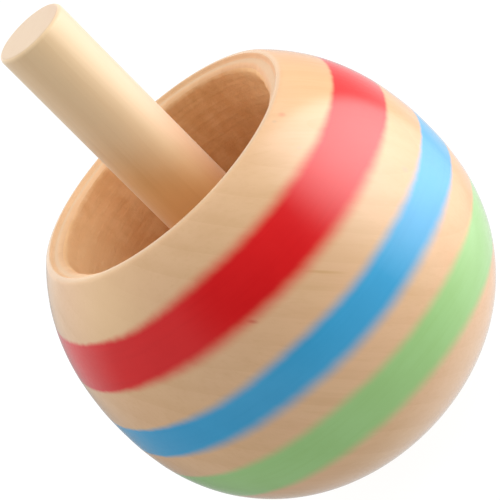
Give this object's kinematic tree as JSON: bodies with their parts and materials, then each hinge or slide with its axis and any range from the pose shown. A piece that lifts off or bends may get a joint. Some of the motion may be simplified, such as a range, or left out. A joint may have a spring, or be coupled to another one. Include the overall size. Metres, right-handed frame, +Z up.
{
  "type": "spinning top",
  "caption": "Small turned wooden flip-over spinning top: a hollowed ball with a glued dowel stem and painted bands.",
  "frame": {"origin": "centre of the sanded foot under the ball, on the table", "axes": "+Z up along the stem, towards its free end; the top is round about Z, so X and Y are free"},
  "size_m": [0.0332, 0.0332, 0.0437],
  "materials": {
    "ball_wood": "satin lacquer",
    "dowel_wood": "satin lacquer",
    "wood_glue": "dried clear glue",
    "red_paint": "satin lacquer",
    "blue_paint": "satin lacquer",
    "green_paint": "satin lacquer"
  },
  "bodies": {
    "root": {"turned_body": "ball_wood", "stem": "dowel_wood", "stem_glue": "wood_glue", "red_band": "red_paint", "blue_band": "blue_paint", "green_band": "green_paint"}
  },
  "joints": []
}
